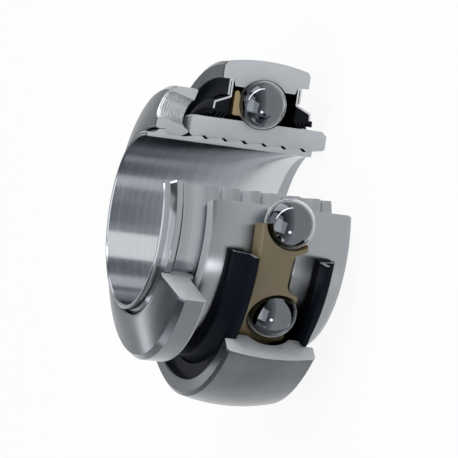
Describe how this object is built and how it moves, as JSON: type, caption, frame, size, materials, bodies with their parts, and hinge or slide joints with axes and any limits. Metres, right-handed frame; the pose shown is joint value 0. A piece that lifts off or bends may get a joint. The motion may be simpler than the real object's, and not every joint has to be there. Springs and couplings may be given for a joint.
{
  "type": "insert bearing",
  "caption": "Cutaway insert ball bearing with spherical outer ring, extended inner ring, split stepped sleeve and screw locking collar.",
  "frame": {"origin": "on the bearing's axis, in the plane of the ball centres", "axes": "+Z along the bearing's axis towards the locking collar; +X in the first section plane, through its section faces; -Y is the side the removed windows open to"},
  "size_m": [0.072, 0.0675, 0.039],
  "materials": {
    "outer_ring_steel": "fine ground",
    "inner_ring_steel": "fine ground",
    "sleeve_steel": "turned and polished",
    "collar_steel": "turned",
    "screw_steel": "black oxide",
    "ball_steel": "polished",
    "cage_polyamide": "moulded, tan",
    "washer_coated_steel": "black coated sheet",
    "lip_rubber": "matt black"
  },
  "bodies": {
    "outer": {"outer_ring": "outer_ring_steel", "seal_washer_collar_side": "washer_coated_steel", "seal_washer_far_side": "washer_coated_steel", "seal_lip_collar_side": "lip_rubber", "seal_lip_far_side": "lip_rubber"},
    "inner": {"inner_ring": "inner_ring_steel", "stepped_sleeve": "sleeve_steel", "locking_collar": "collar_steel", "grub_screw": "screw_steel"},
    "cage": {"cage": "cage_polyamide"},
    "ball_1": {"ball_1": "ball_steel"},
    "ball_2": {"ball_2": "ball_steel"},
    "ball_3": {"ball_3": "ball_steel"},
    "ball_4": {"ball_4": "ball_steel"},
    "ball_5": {"ball_5": "ball_steel"},
    "ball_6": {"ball_6": "ball_steel"},
    "ball_7": {"ball_7": "ball_steel"},
    "ball_8": {"ball_8": "ball_steel"}
  },
  "joints": [
    {"name": "inner_spin", "type": "hinge", "parent": "outer", "child": "inner", "pos_m": [0, 0, 0], "axis": [0, 0, 1], "continuous": true},
    {"name": "cage_spin", "type": "hinge", "parent": "outer", "child": "cage", "pos_m": [0, 0, 0], "axis": [0, 0, 1], "continuous": true},
    {"name": "ball_1_roll", "type": "hinge", "parent": "cage", "child": "ball_1", "pos_m": [0.02694, 0.00085, 0], "axis": [0, 0, 1], "continuous": true},
    {"name": "ball_2_roll", "type": "hinge", "parent": "cage", "child": "ball_2", "pos_m": [0.02009, 0.01796, 0], "axis": [0, 0, 1], "continuous": true},
    {"name": "ball_3_roll", "type": "hinge", "parent": "cage", "child": "ball_3", "pos_m": [0.00384, 0.02667, 0], "axis": [0, 0, 1], "continuous": true},
    {"name": "ball_4_roll", "type": "hinge", "parent": "cage", "child": "ball_4", "pos_m": [-0.0142, 0.0229, 0], "axis": [0, 0, 1], "continuous": true},
    {"name": "ball_5_roll", "type": "hinge", "parent": "cage", "child": "ball_5", "pos_m": [-0.0256, 0.00842, 0], "axis": [0, 0, 1], "continuous": true},
    {"name": "ball_6_roll", "type": "hinge", "parent": "cage", "child": "ball_6", "pos_m": [-0.02502, -0.01001, 0], "axis": [0, 0, 1], "continuous": true},
    {"name": "ball_7_roll", "type": "hinge", "parent": "cage", "child": "ball_7", "pos_m": [-0.01274, -0.02375, 0], "axis": [0, 0, 1], "continuous": true},
    {"name": "ball_8_roll", "type": "hinge", "parent": "cage", "child": "ball_8", "pos_m": [0.00551, -0.02638, 0], "axis": [0, 0, 1], "continuous": true}
  ],
  "couplings": [
    {"joint": "cage_spin", "follows": "inner_spin", "ratio": 0.40428},
    {"joint": "ball_1_roll", "follows": "inner_spin", "ratio": -2.516},
    {"joint": "ball_2_roll", "follows": "inner_spin", "ratio": -2.516},
    {"joint": "ball_3_roll", "follows": "inner_spin", "ratio": -2.516},
    {"joint": "ball_4_roll", "follows": "inner_spin", "ratio": -2.516},
    {"joint": "ball_5_roll", "follows": "inner_spin", "ratio": -2.516},
    {"joint": "ball_6_roll", "follows": "inner_spin", "ratio": -2.516},
    {"joint": "ball_7_roll", "follows": "inner_spin", "ratio": -2.516},
    {"joint": "ball_8_roll", "follows": "inner_spin", "ratio": -2.516}
  ]
}
